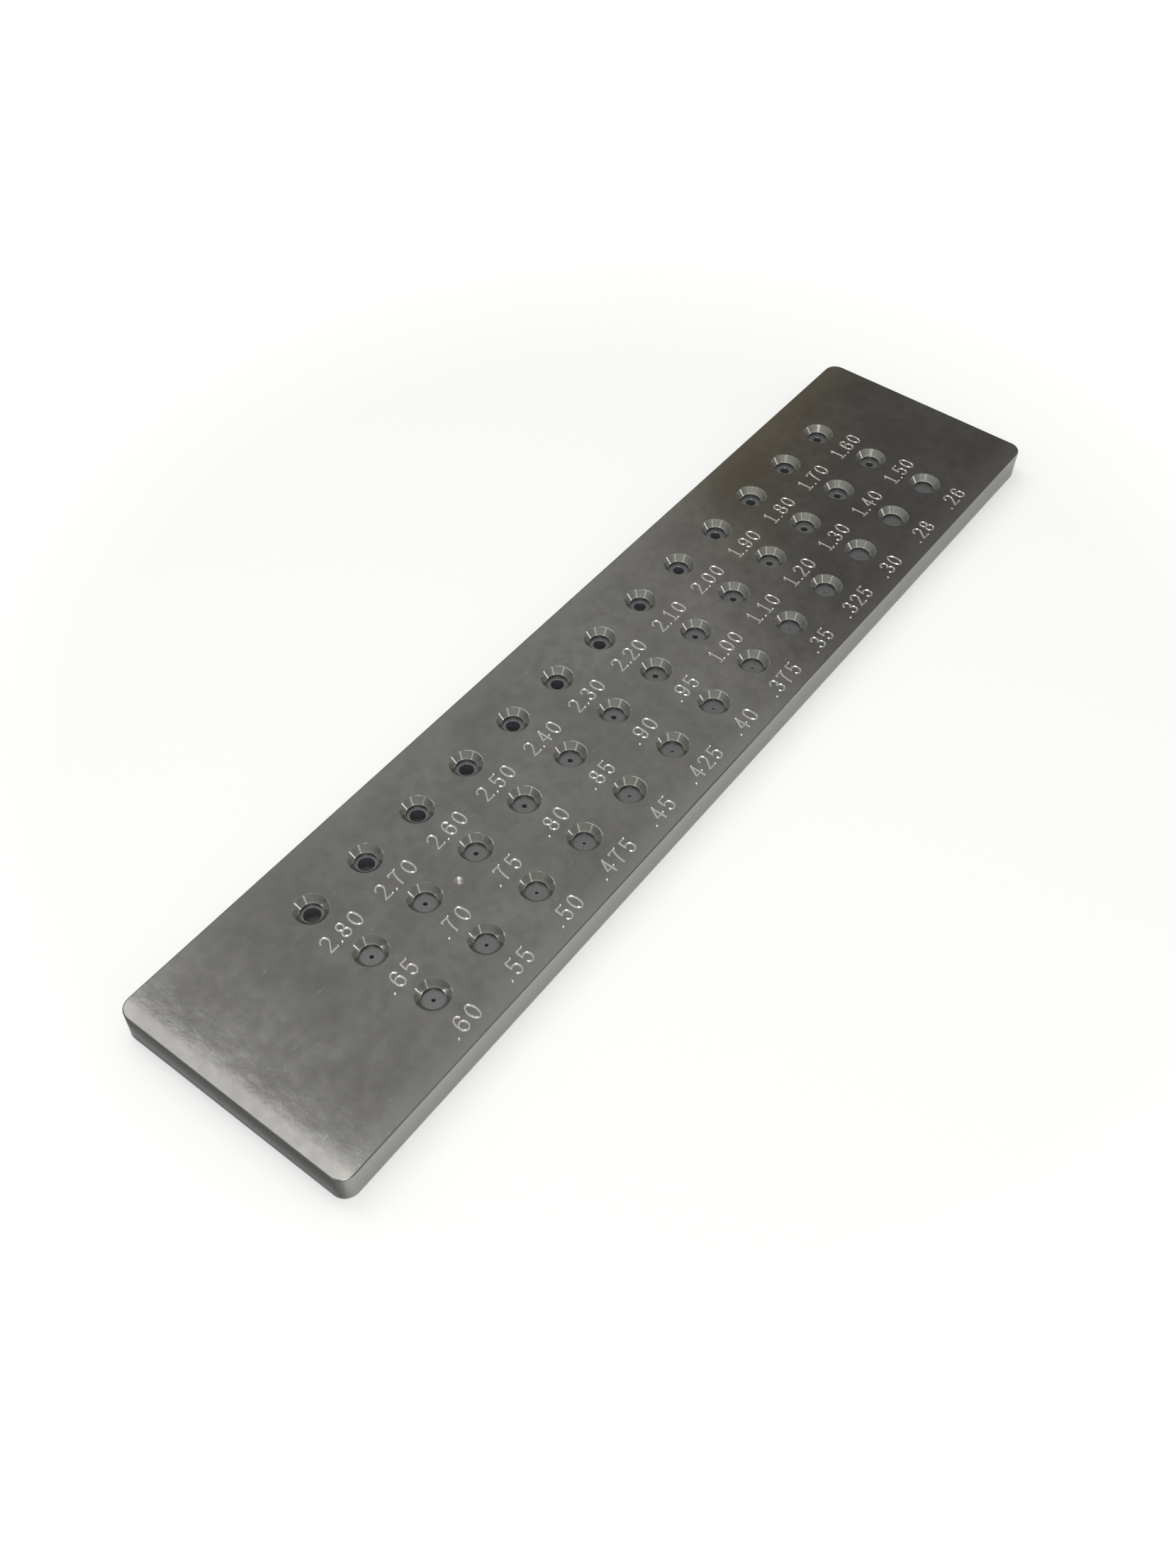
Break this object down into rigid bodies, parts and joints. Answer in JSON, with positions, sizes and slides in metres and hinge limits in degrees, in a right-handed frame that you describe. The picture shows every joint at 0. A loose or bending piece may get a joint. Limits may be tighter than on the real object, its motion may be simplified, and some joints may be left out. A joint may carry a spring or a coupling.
{
  "type": "wire draw plate",
  "caption": "Flat steel bar with rows of tungsten carbide dies set behind countersunk holes, graded from coarse to fine, for drawing wire down through each size in turn.",
  "frame": {"origin": "middle of the bar's back face, which lies on the bench", "axes": "+X along the bar from the blank end to the far end, +Y across it towards the coarse row, +Z out of the numbered face, the way drawn wire leaves"},
  "size_m": [0.2, 0.045, 0.006],
  "materials": {
    "ground_steel": "ground",
    "tungsten_carbide": "lapped"
  },
  "bodies": {
    "root": {"plate": "ground_steel", "coarse_die_01": "tungsten_carbide", "coarse_die_02": "tungsten_carbide", "coarse_die_03": "tungsten_carbide", "coarse_die_04": "tungsten_carbide", "coarse_die_05": "tungsten_carbide", "coarse_die_06": "tungsten_carbide", "coarse_die_07": "tungsten_carbide", "coarse_die_08": "tungsten_carbide", "coarse_die_09": "tungsten_carbide", "coarse_die_10": "tungsten_carbide", "coarse_die_11": "tungsten_carbide", "coarse_die_12": "tungsten_carbide", "coarse_die_13": "tungsten_carbide", "middle_die_01": "tungsten_carbide", "middle_die_02": "tungsten_carbide", "middle_die_03": "tungsten_carbide", "middle_die_04": "tungsten_carbide", "middle_die_05": "tungsten_carbide", "middle_die_06": "tungsten_carbide", "middle_die_07": "tungsten_carbide", "middle_die_08": "tungsten_carbide", "middle_die_09": "tungsten_carbide", "middle_die_10": "tungsten_carbide", "middle_die_11": "tungsten_carbide", "middle_die_12": "tungsten_carbide", "middle_die_13": "tungsten_carbide", "fine_die_01": "tungsten_carbide", "fine_die_02": "tungsten_carbide", "fine_die_03": "tungsten_carbide", "fine_die_04": "tungsten_carbide", "fine_die_05": "tungsten_carbide", "fine_die_06": "tungsten_carbide", "fine_die_07": "tungsten_carbide", "fine_die_08": "tungsten_carbide", "fine_die_09": "tungsten_carbide", "fine_die_10": "tungsten_carbide", "fine_die_11": "tungsten_carbide", "fine_die_12": "tungsten_carbide", "fine_die_13": "tungsten_carbide"}
  },
  "joints": []
}
